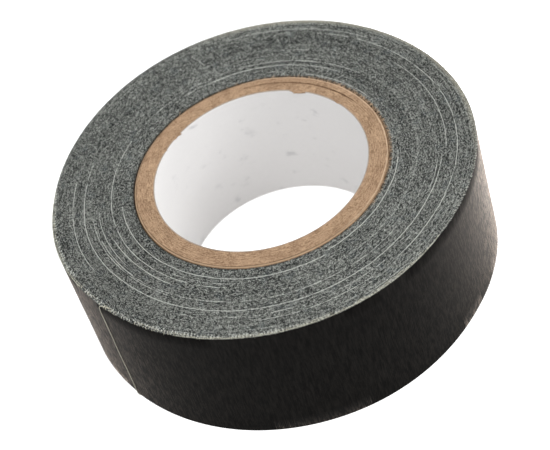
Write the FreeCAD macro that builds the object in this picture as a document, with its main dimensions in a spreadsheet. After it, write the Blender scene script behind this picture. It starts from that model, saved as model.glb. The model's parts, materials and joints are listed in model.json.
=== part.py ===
"""A roll of cloth tape on a spiral-wound paper core, as a parametric FreeCAD document.

Frame: +Z along the roll's axis, origin on that axis in the plane of the core's lower end, millimetres.
The core is a white liner, eight kraft plies and a brown outer ply, each one strip wound as a helix.
The tape is one strip of film, cloth and adhesive. Its bonded inner turns are one solid, the last turn
is three layers, and the last few centimetres are the same three layers in short hinged lengths.

A turn of the tape is a two-centre spiral: two half circles whose centres sit a quarter of the tape's
thickness either side of the axis, so that the radius drops by one thickness in a full turn.
"""

import FreeCAD, Part

import math
import os

import Sketcher

PLIES = 8  # kraft plies between the liner and the outer ply
TAB_LENGTHS = 6  # hinged lengths that the free end of the tape is divided into

# Name, value in millimetres or degrees, what it is.
DIMENSIONS = [
    ("bore_dia", 76.2, "the 3 inch core's inside diameter"),
    ("core_length", 50.6, "core, end to end"),
    ("core_bevel", 0.45, "bevel worn round the outer edge of each end of the core"),
    ("liner_thick", 0.4, "white paper liner"),
    ("ply_thick", 0.8, "one kraft ply"),
    ("outer_ply_thick", 0.6, "brown outer ply"),
    ("glue_line", 0.02, "gap that the glue fills between two plies"),
    ("seam_gap", 0.4, "gap between the two edges of a ply's strip, along the axis"),
    ("seam_pitch", 144.0, "axial advance of a ply's strip in one turn"),
    ("seam_stagger", 77.0, "angle from one ply's seam to the next one's"),
    ("tape_width", 50.0, "tape, edge to edge"),
    ("tape_thick", 0.25, "tape, film to adhesive"),
    ("turns", 119.0, "turns of tape on the core"),
    ("film_thick", 0.06, "black polyethylene film"),
    ("cloth_thick", 0.12, "woven cotton cloth"),
    ("bond_gap", 0.01, "gap left between two layers that are stuck together"),
    ("start_angle", 150.0, "azimuth where the tape starts on the core"),
    ("end_angle", 208.3, "azimuth of the tape's torn end"),
    ("tab_step", 4.0, "angle of one hinged length of the free end"),
    ("yarn_dia", 0.2, "cotton warp yarn standing off the slit edge"),
    ("thread_dia", 0.45, "loose weft thread along the torn end"),
    ("thread_inset", 0.6, "angle from the torn end to the thread"),
    ("thread_clear", 0.16, "gap between the thread and the tape, because it hangs loose"),
    ("thread_bend", 0.7, "radius at which the thread turns over the rim"),
    ("thread_hook", 1.6, "length of thread lying inward over the rim"),
]

# Warp yarns that stand off the slit edge: turn of the tape counted from the core, start azimuth, sweep.
STRAY_YARNS = [
    (7, 12, 45),
    (12, 282, 63),
    (18, 175, 108),
    (24, 40, 62),
    (27, 212, 38),
    (33, 30, 225),
    (42, 189, 36),
    (57, 175, 172),
    (60, 174, 52),
    (72, 152, 190),
    (83, 222, 96),
    (88, 155, 45),
    (92, 245, 195),
]
LOWER_FACE_TURN = 137  # the lower slit edge has the same kind of yarns, turned by this many degrees

# Radii and heights that several pieces share, as spreadsheet expressions.
BORE_R = "dims.bore_dia / 2"
PLY_BASE_R = f"{BORE_R} + dims.liner_thick"
OUTER_PLY_R = f"{PLY_BASE_R} + {PLIES} * dims.ply_thick"
CORE_R = f"{OUTER_PLY_R} + dims.outer_ply_thick"
ROLL_R = f"{CORE_R} + dims.turns * dims.tape_thick"
TAPE_BASE = "(dims.core_length - dims.tape_width) / 2"
CLEARANCE = f"dims.bond_gap / ({ROLL_R}) * 180 / pi"  # the bond gap as an angle at the rim

# The three layers of the tape: name, depth of its outer face, depth of its inner face.
LAYERS = [
    ("film", "0", "dims.film_thick"),
    ("cloth", "dims.film_thick", "dims.film_thick + dims.cloth_thick"),
    ("adhesive", "dims.film_thick + dims.cloth_thick", "dims.tape_thick"),
]

X_AXIS = -1  # Sketcher's number for a sketch's horizontal axis, whose first point is the origin
START, END, CENTRE = 1, 2, 3  # Sketcher's numbers for the points of an edge

doc = FreeCAD.newDocument("tape_roll")
sheet = doc.addObject("Spreadsheet::Sheet", "dims")
V = FreeCAD.Vector
UP = V(0, 0, 1)


def fill_sheet():
    """Writes the driving dimensions, each in a cell with its name as alias."""
    for row, (name, value, note) in enumerate(DIMENSIONS, start=1):
        sheet.set(f"A{row}", name)
        sheet.set(f"B{row}", str(value))
        sheet.set(f"C{row}", note)
        sheet.setAlias(f"B{row}", name)
    doc.recompute()


def value(expression):
    """The number that a spreadsheet expression has now."""
    return float(doc.getObject("dims").evalExpression(expression.replace("dims.", "")))


def new_body(label, height="0", angle="0"):
    """A body that is lifted by height and turned about the roll's axis by angle."""
    body = doc.addObject("PartDesign::Body", label)
    body.Label = label
    body.Placement = FreeCAD.Placement(V(0, 0, 0), FreeCAD.Rotation(UP, 90))
    body.setExpression(".Placement.Base.z", height)
    body.setExpression(".Placement.Rotation.Angle", f"({angle}) * 1 deg")
    return body


def origin_part(body, role):
    """One of the body's own origin planes or axes."""
    return next(f for f in body.Origin.OriginFeatures if f.Role == role)


def new_sketch(body, name, plane="XY_Plane"):
    sketch = body.newObject("Sketcher::SketchObject", name)
    sketch.AttachmentSupport = [(origin_part(body, plane), "")]
    sketch.MapMode = "FlatFace"
    return sketch


def hold(sketch, kind, *where, name, by):
    """Adds a dimension to a sketch and binds it to a spreadsheet expression."""
    size = value(by)
    unit = " * 1 deg" if kind == "Angle" else ""
    index = sketch.addConstraint(
        Sketcher.Constraint(kind, *where, math.radians(size) if kind == "Angle" else size)
    )
    sketch.renameConstraint(index, name)
    sketch.setExpression(f"Constraints.{name}", f"({by}){unit}")


def on_circle(offset, radius, angle):
    """The point at an angle in degrees on a circle whose centre is at (offset, 0)."""
    return V(offset, 0, 0) + FreeCAD.Rotation(UP, angle).multVec(V(radius, 0, 0))


def add_arc(sketch, name, offset, radius, first, last, free=False):
    """An arc about (offset, 0). Its radius is held too, unless it's left free for its ends to set."""
    circle = Part.Circle(V(value(offset), 0, 0), UP, value(radius))
    arc = sketch.addGeometry(Part.ArcOfCircle(circle, math.radians(first), math.radians(last)))
    if not free:
        hold(sketch, "Radius", arc, name=f"{name}_radius", by=radius)
    hold(sketch, "DistanceX", X_AXIS, START, arc, CENTRE, name=f"{name}_centre", by=offset)
    put_on_axis(sketch, arc, CENTRE)
    return arc


def join(sketch, edge_a, point_a, edge_b, point_b):
    sketch.addConstraint(Sketcher.Constraint("Coincident", edge_a, point_a, edge_b, point_b))


def put_on_axis(sketch, edge, point):
    sketch.addConstraint(Sketcher.Constraint("PointOnObject", edge, point, X_AXIS))


def add_line(sketch, first, last):
    return sketch.addGeometry(Part.LineSegment(first, last))


def end_line(sketch, name, centre_arc, offset, inner, outer, angle):
    """A radial edge at an angle about centre_arc's centre, from radius inner to radius outer."""
    at = value(angle)
    low = on_circle(value(offset), value(inner), at)
    high = on_circle(value(offset), value(outer), at)
    line = add_line(sketch, low, high)
    sketch.addConstraint(Sketcher.Constraint("PointOnObject", centre_arc, CENTRE, line))
    hold(sketch, "Angle", line, name=f"{name}_angle", by=angle)
    return line


def spiral_loop(sketch, radius):
    """One closed turn of the spiral: it starts on +X at radius and comes back one thickness lower."""
    quarter = "dims.tape_thick / 4"
    near = add_arc(sketch, "near", quarter, f"{radius} - {quarter}", 0, 180)
    far = add_arc(sketch, "far", f"-{quarter}", f"{radius} - 3 * {quarter}", 180, 360, free=True)
    step = add_line(sketch, V(value(f"{radius} - dims.tape_thick"), 0, 0), V(value(radius), 0, 0))
    join(sketch, near, END, far, START)
    join(sketch, far, END, step, START)
    join(sketch, step, END, near, START)
    put_on_axis(sketch, near, START)
    put_on_axis(sketch, near, END)
    put_on_axis(sketch, far, END)


def pad(body, sketch, length, name):
    feature = body.newObject("PartDesign::Pad", name)
    feature.Profile = sketch
    feature.setExpression("Length", length)
    doc.recompute()
    return feature


def paper_ply(label, inner, outer, seam_turn, bevel=None):
    """A tube of paper wound as one helical strip, whose two edges leave a slanting seam."""
    body = new_body(label, angle=str(seam_turn))
    ring = new_sketch(body, f"{label}_ring")
    for name, radius in (("inner", inner), ("outer", outer)):
        circle = ring.addGeometry(Part.Circle(V(0, 0, 0), UP, value(radius)))
        join(ring, circle, CENTRE, X_AXIS, START)
        hold(ring, "Radius", circle, name=name, by=radius)
    tube = pad(body, ring, "dims.core_length", f"{label}_tube")
    if bevel:
        tube = bevel_outer_edges(body, tube, value(outer), bevel)
    whole = tube.Shape.Volume
    seam = body.newObject("PartDesign::SubtractiveHelix", f"{label}_seam")
    seam.Profile = seam_profile(body, label, inner, outer)
    seam.ReferenceAxis = (origin_part(body, "Z_Axis"), [""])
    seam.Mode = 0  # pitch and height
    seam.setExpression("Pitch", "dims.seam_pitch")
    seam.setExpression("Height", "dims.core_length * 1.2")
    doc.recompute()
    assert seam.Shape.Volume < whole, f"{label}'s seam cut nothing"
    return body


def bevel_outer_edges(body, tube, radius, bevel):
    """Cuts a bevel round both ends of a tube, on the edges that lie at radius."""
    rims = [
        f"Edge{i}"
        for i, edge in enumerate(tube.Shape.Edges, start=1)
        if isinstance(edge.Curve, Part.Circle) and abs(edge.Curve.Radius - radius) < 1e-6
    ]
    assert len(rims) == 2, "the tube has no two outer edges to bevel"
    chamfer = body.newObject("PartDesign::Chamfer", "bevel")
    chamfer.Base = (tube, rims)
    chamfer.setExpression("Size", bevel)
    doc.recompute()
    assert chamfer.Shape.Volume < tube.Shape.Volume, "the bevel cut nothing"
    return chamfer


def seam_profile(body, label, inner, outer):
    """The seam's cross-section, a little taller in radius than the ply and starting below its end."""
    sketch = new_sketch(body, f"{label}_seam_profile", "XZ_Plane")
    left, right = value(f"{inner} - dims.seam_gap"), value(f"{outer} + dims.seam_gap")
    low = value("-dims.core_length / 10")
    high = low + value("dims.seam_gap")
    corners = [V(left, low, 0), V(right, low, 0), V(right, high, 0), V(left, high, 0)]
    lines = [add_line(sketch, corners[i], corners[(i + 1) % 4]) for i in range(4)]
    for i, line in enumerate(lines):
        join(sketch, line, END, lines[(i + 1) % 4], START)
        sketch.addConstraint(Sketcher.Constraint("Vertical" if i % 2 else "Horizontal", line))
    bottom, side = lines[0], lines[1]
    hold(sketch, "DistanceX", X_AXIS, START, bottom, START, name="left", by=f"{inner} - dims.seam_gap")
    hold(sketch, "DistanceX", X_AXIS, START, bottom, END, name="right", by=f"{outer} + dims.seam_gap")
    hold(sketch, "DistanceY", bottom, START, X_AXIS, START, name="below", by="dims.core_length / 10")
    hold(sketch, "DistanceY", side, START, side, END, name="gap", by="dims.seam_gap")
    return sketch


def core():
    """The paper core: liner, kraft plies and outer ply, each with its seam further round."""
    stagger = value("dims.seam_stagger")
    pieces = [paper_ply("core_liner", BORE_R, f"{PLY_BASE_R} - dims.glue_line", 200)]
    for i in range(PLIES):
        inner = f"{PLY_BASE_R} + {i} * dims.ply_thick"
        outer = f"{inner} + dims.ply_thick - dims.glue_line"
        pieces.append(paper_ply(f"core_ply_{i + 1}", inner, outer, 200 + stagger * (i + 1)))
    outer = f"{CORE_R} - dims.glue_line"
    seam_turn = 200 + stagger * (PLIES + 1)
    pieces.append(paper_ply("core_outer_ply", OUTER_PLY_R, outer, seam_turn, "dims.core_bevel"))
    return pieces


def windings():
    """Every bonded turn but the last: a ring whose two walls are spiral turns, each with its step."""
    body = new_body("tape_windings", TAPE_BASE, "dims.end_angle")
    outline = new_sketch(body, "windings_outline")
    spiral_loop(outline, f"{ROLL_R} - dims.tape_thick - dims.bond_gap")
    disc = pad(body, outline, "dims.tape_width", "windings_disc")
    full = disc.Shape.Volume
    hollow = new_sketch(body, "windings_hollow")
    spiral_loop(hollow, f"{CORE_R} + dims.tape_thick")
    turn = value("dims.start_angle - dims.end_angle")
    hollow.AttachmentOffset = FreeCAD.Placement(V(0, 0, 0), FreeCAD.Rotation(UP, turn))
    hole = body.newObject("PartDesign::Pocket", "windings_hole")
    hole.Profile = hollow
    hole.Type = "ThroughAll"
    hole.Reversed = True
    doc.recompute()
    assert hole.Shape.Volume < full, "the windings' hole cut nothing"
    return body


def layer_radii(outer_depth, inner_depth, drop):
    """A layer's outer and inner radius on a half turn whose radius has dropped by drop thicknesses."""
    top = f"{ROLL_R} - {drop} * dims.tape_thick"
    inner = f"{top} - ({inner_depth}) + dims.bond_gap"
    return f"{top} - ({outer_depth})", inner


def outer_wrap(layer, outer_depth, inner_depth):
    """One layer of the last full turn, from the free end's root round to under the torn end."""
    body = new_body(f"outer_wrap_{layer}", TAPE_BASE, "dims.end_angle")
    sketch = new_sketch(body, f"wrap_{layer}_outline")
    near_out, near_in = layer_radii(outer_depth, inner_depth, 0.25)
    far_out, far_in = layer_radii(outer_depth, inner_depth, 0.75)
    near, far = "dims.tape_thick / 4", "-dims.tape_thick / 4"
    root = f"{TAB_LENGTHS} * dims.tab_step"
    first = value(root)
    out_a = add_arc(sketch, "near_outer", near, near_out, first, 180)
    out_b = add_arc(sketch, "far_outer", far, far_out, 180, 360, free=True)
    in_b = add_arc(sketch, "far_inner", far, far_in, 180, 360, free=True)
    in_a = add_arc(sketch, "near_inner", near, near_in, first, 180)
    start = end_line(sketch, "root", out_a, near, near_in, near_out, root)
    stop = end_line(sketch, "stop", out_b, far, far_in, far_out, f"-({CLEARANCE})")
    join(sketch, start, END, out_a, START)
    join(sketch, out_a, END, out_b, START)
    join(sketch, out_b, END, stop, END)
    join(sketch, stop, START, in_b, END)
    join(sketch, in_b, START, in_a, END)
    join(sketch, in_a, START, start, START)
    put_on_axis(sketch, out_a, END)
    put_on_axis(sketch, in_a, END)
    pad(body, sketch, "dims.tape_width", f"wrap_{layer}_strip")
    return body


def tab_length(number, layer, outer_depth, inner_depth):
    """One layer of one hinged length of the free end. Length 1 is at the root."""
    body = new_body(f"tab_{layer}_{number}", TAPE_BASE, "dims.end_angle")
    sketch = new_sketch(body, f"tab_{layer}_{number}_outline")
    outer, inner = layer_radii(outer_depth, inner_depth, 0.25)
    centre = "dims.tape_thick / 4"
    low, high = f"{TAB_LENGTHS - number} * dims.tab_step", f"{TAB_LENGTHS - number + 1} * dims.tab_step"
    high = f"{high} - {CLEARANCE}"
    top = add_arc(sketch, "outer", centre, outer, value(low), value(high))
    under = add_arc(sketch, "inner", centre, inner, value(low), value(high))
    free = end_line(sketch, "free", top, centre, inner, outer, low)
    fixed = end_line(sketch, "fixed", top, centre, inner, outer, high)
    join(sketch, free, END, top, START)
    join(sketch, top, END, fixed, END)
    join(sketch, fixed, START, under, END)
    join(sketch, under, START, free, START)
    pad(body, sketch, "dims.tape_width", f"tab_{layer}_{number}_strip")
    return body


def tape():
    """The windings, the last turn's layers and the hinged free end's layers."""
    pieces = [windings()]
    pieces += [outer_wrap(*layer) for layer in LAYERS]
    for number in range(1, TAB_LENGTHS + 1):
        pieces += [tab_length(number, *layer) for layer in LAYERS]
    return pieces


def end_thread():
    """The loose weft thread: up the outside along the torn end, then inward over the rim."""
    body = new_body("end_thread", TAPE_BASE, "dims.end_angle + dims.thread_inset")
    half = value("dims.thread_dia / 2")
    bend = value("dims.thread_bend")
    path_r = f"{ROLL_R} + dims.thread_dia / 2 + dims.thread_clear"
    path_top = "dims.tape_width + dims.thread_dia / 2 + dims.thread_clear"
    radius, top = value(path_r), value(path_top)
    spine = new_sketch(body, "thread_path", "XZ_Plane")
    turn = V(radius - bend, top - bend, 0)
    rise = add_line(spine, V(radius, 0, 0), V(radius, top - bend, 0))
    bow = spine.addGeometry(Part.ArcOfCircle(Part.Circle(turn, UP, bend), 0, math.pi / 2))
    hook = value("dims.thread_hook")
    inward = add_line(spine, V(radius - bend, top, 0), V(radius - bend - hook, top, 0))
    spine.addConstraint(Sketcher.Constraint("Vertical", rise))
    spine.addConstraint(Sketcher.Constraint("Horizontal", inward))
    spine.addConstraint(Sketcher.Constraint("Tangent", rise, END, bow, START))
    spine.addConstraint(Sketcher.Constraint("Tangent", bow, END, inward, START))
    put_on_axis(spine, rise, START)
    hold(spine, "DistanceX", X_AXIS, START, rise, START, name="path_radius", by=path_r)
    hold(spine, "Radius", bow, name="bend", by="dims.thread_bend")
    hold(spine, "DistanceY", X_AXIS, START, inward, END, name="path_top", by=path_top)
    hold(spine, "DistanceX", inward, END, inward, START, name="hook", by="dims.thread_hook")
    section = new_sketch(body, "thread_section")
    circle = section.addGeometry(Part.Circle(V(radius, 0, 0), UP, half))
    put_on_axis(section, circle, CENTRE)
    hold(section, "DistanceX", X_AXIS, START, circle, CENTRE, name="section_place", by=path_r)
    hold(section, "Radius", circle, name="section_radius", by="dims.thread_dia / 2")
    doc.recompute()
    pipe = body.newObject("PartDesign::AdditivePipe", "thread_pipe")
    pipe.Profile = section
    pipe.Spine = spine
    doc.recompute()
    return body


def edge_yarns(label, height, turned):
    """The stray warp yarns of one slit edge, as separate arcs in one node."""
    arcs = []
    for turn, start, sweep in STRAY_YARNS:
        arc = doc.addObject("Part::Torus", f"{label}_{turn}")
        arc.setExpression("Radius1", f"{CORE_R} + {turn} * dims.tape_thick")
        arc.setExpression("Radius2", "dims.yarn_dia / 2")
        arc.Angle3 = sweep
        arc.Placement = FreeCAD.Placement(V(0, 0, 0), FreeCAD.Rotation(UP, start + turned))
        arc.setExpression(".Placement.Base.z", height)
        arcs.append(arc)
    group = doc.addObject("Part::Compound", label)
    group.Label = label
    group.Links = arcs
    doc.recompute()
    return group


def yarns():
    """Stray yarns just clear of the upper and the lower slit edge."""
    clear = "(dims.yarn_dia / 2 + dims.bond_gap)"
    return [
        edge_yarns("edge_yarns_top", f"{TAPE_BASE} + dims.tape_width + {clear}", 0),
        edge_yarns("edge_yarns_bottom", f"{TAPE_BASE} - {clear}", LOWER_FACE_TURN),
    ]


def check(pieces):
    """Stops if anything in the document failed, or a sub-part isn't made of valid solids."""
    for item in doc.Objects:
        bad = {"Invalid", "Error"} & set(item.State)
        assert not bad, f"{item.Name}: {item.State}"
    for piece in pieces:
        shape = piece.Shape
        assert not shape.isNull() and shape.isValid(), f"{piece.Label}'s shape is not valid"
        assert shape.Solids and shape.Volume > 0, f"{piece.Label} holds no solid"


def export(pieces):
    os.makedirs("parts", exist_ok=True)
    for piece in pieces:
        piece.Shape.exportStep(f"parts/{piece.Label}.step")
        print(f"{piece.Label}: {len(piece.Shape.Solids)} solid(s), {piece.Shape.Volume:.1f} mm3")


fill_sheet()
sub_parts = core() + tape() + [end_thread()] + yarns()
doc.recompute()
check(sub_parts)
export(sub_parts)
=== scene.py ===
"""A roll of black cloth tape on a white-lined paper core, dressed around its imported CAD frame.

Everything is in metres in the CAD frame: +Z along the roll's axis, with the core's lower end at z = 0.
Places along the tape are told in degrees of winding: "wound" counts from the tape's start on the core,
and "phi" counts back from its torn end. The tape winds clockwise outward, seen from above.
"""

import json
import math

import bpy
import numpy as np
from mathutils import Matrix, Vector


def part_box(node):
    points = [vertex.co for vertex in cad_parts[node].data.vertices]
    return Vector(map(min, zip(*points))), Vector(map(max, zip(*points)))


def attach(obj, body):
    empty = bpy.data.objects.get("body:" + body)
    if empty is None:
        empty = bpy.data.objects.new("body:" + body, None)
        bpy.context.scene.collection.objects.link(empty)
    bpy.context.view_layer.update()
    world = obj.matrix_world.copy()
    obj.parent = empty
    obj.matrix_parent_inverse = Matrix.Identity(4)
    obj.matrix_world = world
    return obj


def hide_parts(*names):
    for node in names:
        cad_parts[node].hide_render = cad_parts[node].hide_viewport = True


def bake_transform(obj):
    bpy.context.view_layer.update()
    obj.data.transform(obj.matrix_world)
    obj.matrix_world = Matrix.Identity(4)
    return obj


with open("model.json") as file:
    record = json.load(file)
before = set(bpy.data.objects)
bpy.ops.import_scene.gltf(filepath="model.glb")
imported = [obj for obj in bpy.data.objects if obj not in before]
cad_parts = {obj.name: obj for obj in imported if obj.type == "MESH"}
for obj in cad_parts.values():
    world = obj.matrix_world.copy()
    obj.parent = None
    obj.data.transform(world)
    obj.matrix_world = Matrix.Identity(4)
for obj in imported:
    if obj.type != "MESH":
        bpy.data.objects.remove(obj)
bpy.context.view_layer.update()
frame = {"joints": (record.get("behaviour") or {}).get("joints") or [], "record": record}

MM = 0.001
TURN = 360  # degrees in a turn, and mesh columns in a turn of the slit edges


# ---- Sizes, from the frame ----


def outer_radius(node):
    low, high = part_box(node)
    return max(-low.x, -low.y, high.x, high.y)


def azimuth_of(point):
    return math.degrees(math.atan2(point.y, point.x)) % 360


BORE = next(m for m in frame["record"]["mounts"] if m["name"] == "core_bore")
BORE_R = BORE["dims"]["r_mm"] * MM
LINER_R = outer_radius("core_liner")
PLY_NODES = [f"core_ply_{i}" for i in range(1, 9)]
PLY_R = [outer_radius(node) for node in PLY_NODES]
CORE_R = outer_radius("core_outer_ply")
CORE_LOW, CORE_TOP = (corner.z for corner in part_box("core_liner"))
CORE_MIDDLE, CORE_HALF = (CORE_LOW + CORE_TOP) / 2, (CORE_TOP - CORE_LOW) / 2
TAPE_LOW, TAPE_TOP = (corner.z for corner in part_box("tape_windings"))
TAPE_WIDTH = TAPE_TOP - TAPE_LOW

HINGES = [Vector(joint["pos_m"]) for joint in frame["joints"]]
TAB_STEP = azimuth_of(HINGES[0]) - azimuth_of(HINGES[1])
END_AZ = azimuth_of(HINGES[-1]) - TAB_STEP
TAB_PHI = TAB_STEP * len(HINGES)
ROLL_R = HINGES[-1].xy.length

START_AZ = 150.0  # where the tape starts on the core
WHOLE_TURNS = 118
WOUND_END = WHOLE_TURNS * TURN + START_AZ - END_AZ
THICK = (ROLL_R - CORE_R) / (WOUND_END / TURN + 1)
WEFT_PITCH = 0.6 * MM  # spacing of the cloth's cross threads along the tape
WEFT_PHI = math.degrees(WEFT_PITCH / ROLL_R)

# Where the rim is out of round: azimuth, half width in degrees, and how far it stands out in mm.
BULGES = [(80, 30, 0.9), (112, 24, 0.55), (186, 17, 0.9), (350, 26, 0.6), (314, 22, -0.65)]


# ---- Shape helpers ----


def drift(x, seed):
    """A smooth random curve of x, between -1 and 1, with a new random height at each whole x."""
    x = np.asarray(x, float)
    whole = np.floor(x).astype(int)
    share = x - whole
    share = share * share * (3 - 2 * share)
    base = whole.min()
    heights = np.random.default_rng(seed).uniform(-1, 1, whole.max() - base + 2)
    return heights[whole - base] * (1 - share) + heights[whole - base + 1] * share


def around(azimuth, waves, seed):
    """A smooth random curve round the roll, about -1 to 1, whose highest frequency is waves."""
    azimuth = np.radians(np.asarray(azimuth, float))
    random = np.random.default_rng(seed)
    total = np.zeros_like(azimuth)
    for k in range(1, waves + 1):
        total += random.normal() / math.sqrt(k) * np.sin(k * azimuth + random.uniform(0, 6.28))
    return total / math.sqrt(waves)


def near(azimuth, centre, width):
    """1 at an azimuth, falling to 0 either side of it."""
    away = (np.asarray(azimuth, float) - centre + 180) % 360 - 180
    return np.exp(-((away / width) ** 2))


def place_core(radius, azimuth, z):
    turn = np.radians(azimuth)
    return np.stack([radius * np.cos(turn), radius * np.sin(turn), z], -1)


def place(radius, azimuth, z):
    """Points on the wound tape, with the rim's bulges, which the core doesn't have."""
    radius, azimuth, z = np.broadcast_arrays(radius, azimuth, z)
    share = np.clip((radius - CORE_R) / (ROLL_R - CORE_R), 0, 1.1)
    bulge = sum(near(azimuth, centre, width) * reach for centre, width, reach in BULGES)
    return place_core(radius + bulge * MM * share, azimuth, z)


def strip_radius(wound):
    """Radius of the tape's inner face where it has wound so many degrees from its start."""
    return CORE_R + THICK * np.asarray(wound, float) / TURN


def strip_azimuth(wound):
    return START_AZ - np.asarray(wound, float)


def edge_rise(wound, seed):
    """How far the slit edge stands off its nominal plane, because turns don't stack exactly."""
    wound = np.asarray(wound, float)
    bands = drift(wound / (7 * TURN), seed) * 0.12
    turns = drift(wound / (0.9 * TURN), seed + 1) * 0.05
    ripple = drift(wound / 24, seed + 2) * 0.025
    return (bands + turns + ripple) * MM


class Shell:
    """Vertices, faces with a material number each, and attributes, gathered before making a mesh."""

    def __init__(self):
        self.points, self.faces, self.slots, self.values = [], [], [], {}
        self.count = 0

    def add(self, points, faces, slot=0, **values):
        points = np.asarray(points, float).reshape(-1, 3)
        for face_group in faces if isinstance(faces, list) else [faces]:
            face_group = np.asarray(face_group, int)
            self.faces.append(face_group + self.count)
            self.slots.append(np.full(len(face_group), slot))
        self.points.append(points)
        for name in set(values) | set(self.values):
            done = self.values.setdefault(name, [np.zeros(self.count)])
            done.append(np.asarray(values.get(name, np.zeros(len(points))), float).ravel())
        self.count += len(points)
        return self


def make_piece(name, shell, materials, body=None, replaces=(), sharp=None):
    """Makes the mesh object, gives it its materials, hangs it on its body if it has one and hides the CAD
    parts it replaces.
    """
    mesh = bpy.data.meshes.new(name)
    points = np.concatenate(shell.points)
    sizes = np.concatenate([np.full(len(f), f.shape[1]) for f in shell.faces])
    corners = np.concatenate([f.ravel() for f in shell.faces])
    mesh.vertices.add(len(points))
    mesh.vertices.foreach_set("co", points.astype(np.float32).ravel())
    mesh.loops.add(len(corners))
    mesh.loops.foreach_set("vertex_index", corners.astype(np.int32))
    mesh.polygons.add(len(sizes))
    starts = np.concatenate([[0], np.cumsum(sizes)[:-1]])
    mesh.polygons.foreach_set("loop_start", starts.astype(np.int32))
    mesh.polygons.foreach_set("material_index", np.concatenate(shell.slots).astype(np.int32))
    for key, values in shell.values.items():
        stored = mesh.attributes.new(key, "FLOAT", "POINT")
        stored.data.foreach_set("value", np.concatenate(values).astype(np.float32))
    mesh.polygons.foreach_set("use_smooth", np.full(len(sizes), True))
    mesh.update(calc_edges=True)
    mesh.validate()
    if sharp:
        mesh.set_sharp_from_angle(angle=math.radians(sharp))
    for material in materials:
        mesh.materials.append(material)
    piece = bpy.data.objects.new(name, mesh)
    bpy.context.scene.collection.objects.link(piece)
    if body:
        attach(piece, body)
    if replaces:
        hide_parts(*replaces)
    return piece


def loop_faces(columns, ring):
    """Quads between neighbouring columns of a grid whose rows close into a ring."""
    a = np.arange(columns - 1)[:, None] * ring
    i = np.arange(ring)[None, :]
    j = (i + 1) % ring
    return np.stack([a + i, a + ring + i, a + ring + j, a + j], -1).reshape(-1, 4)


def tube_along(path, radius, sides, twist=0.0, taper=False):
    """A closed tube round a path of points. Twist, in turns per metre, makes a two-ply cord."""
    path = np.asarray(path, float)
    forward = np.gradient(path, axis=0)
    forward /= np.linalg.norm(forward, axis=1)[:, None]
    helper = np.where(np.abs(forward[:, 2:3]) > 0.9, [[1.0, 0, 0]], [[0, 0, 1.0]])
    side = np.cross(forward, helper)
    side /= np.linalg.norm(side, axis=1)[:, None]
    up = np.cross(side, forward)
    run = np.concatenate([[0], np.cumsum(np.linalg.norm(np.diff(path, axis=0), axis=1))])
    spin = 2 * math.pi * twist * run
    corner = np.linspace(0, 2 * math.pi, sides, endpoint=False)[None, :]
    reach = np.full((len(path), sides), float(radius))
    if twist:
        reach *= 0.8 + 0.2 * np.cos(2 * (corner - spin[:, None]))
    if taper:
        reach *= np.linspace(1, 0.3, len(path))[:, None]
    rim = side[:, None] * np.cos(corner)[..., None] + up[:, None] * np.sin(corner)[..., None]
    points = (path[:, None] + rim * reach[..., None]).reshape(-1, 3)
    faces = loop_faces(len(path), sides)
    caps = np.array([np.arange(sides), (len(path) - 1) * sides + np.arange(sides)[::-1]])
    return points, [faces, caps]


# ---- Material helpers ----


def feed(tree, socket, given):
    """Links the socket to another one, or gives it a value."""
    if isinstance(given, bpy.types.NodeSocket):
        tree.links.new(given, socket)
    else:
        socket.default_value = given


def node(tree, kind, settings=None, **inputs):
    """Adds a shader node. Inputs are given by socket name, as a value or as a socket to link."""
    made = tree.nodes.new(kind)
    for key, setting in (settings or {}).items():
        setattr(made, key, setting)
    for key, given in inputs.items():
        feed(tree, made.inputs[key.replace("_", " ")], given)
    return made


def calc(tree, operation, *terms, clamp=False):
    """A math node's result."""
    made = node(tree, "ShaderNodeMath", {"operation": operation, "use_clamp": clamp})
    for socket, term in zip(made.inputs, terms):
        feed(tree, socket, term)
    return made.outputs[0]


def times(tree, first, second):
    return calc(tree, "MULTIPLY", first, second)


def blend_colours(tree, share, first, second):
    """Goes from the first colour to the second as the share goes from 0 to 1."""
    made = node(tree, "ShaderNodeMix", {"data_type": "RGBA"})
    for socket, term in zip((made.inputs[0], made.inputs[6], made.inputs[7]), (share, first, second)):
        feed(tree, socket, (*term, 1) if isinstance(term, tuple) else term)
    return made.outputs[2]


def step_up(tree, value, low, high):
    """0 below low, 1 above high and smooth between."""
    smooth = {"interpolation_type": "SMOOTHSTEP"}
    return node(tree, "ShaderNodeMapRange", smooth, Value=value, From_Min=low, From_Max=high).outputs[0]


def noise(tree, vector, scale, detail, roughness):
    """A noise value, with the scale in features per metre."""
    return node(
        tree, "ShaderNodeTexNoise", Vector=vector, Scale=scale, Detail=detail, Roughness=roughness
    ).outputs["Fac"]


def grains(tree, vector, scale):
    """A random value for each of many irregular grains, with the scale in grains per metre."""
    made = node(tree, "ShaderNodeTexVoronoi", Vector=vector, Scale=scale)
    return node(tree, "ShaderNodeSeparateColor", Color=made.outputs["Color"]).outputs[0]


def object_place(tree):
    return node(tree, "ShaderNodeTexCoord").outputs["Object"]


def stretched(tree, vector, scale):
    """The vector with its three parts scaled, which draws noise out along the smallest."""
    made = node(tree, "ShaderNodeVectorMath", {"operation": "MULTIPLY"})
    tree.links.new(vector, made.inputs[0])
    made.inputs[1].default_value = scale
    return made.outputs[0]


def attribute(tree, name):
    return node(tree, "ShaderNodeAttribute", {"attribute_name": name}).outputs["Fac"]


def combine(tree, x, y, z=0.0):
    made = node(tree, "ShaderNodeCombineXYZ")
    for socket, term in zip(made.inputs, (x, y, z)):
        feed(tree, socket, term)
    return made.outputs[0]


def hump(tree, share):
    """0 at 0 and at 1, and 1 half way between."""
    return times(tree, times(tree, share, 4.0), calc(tree, "SUBTRACT", 1.0, share))


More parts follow.
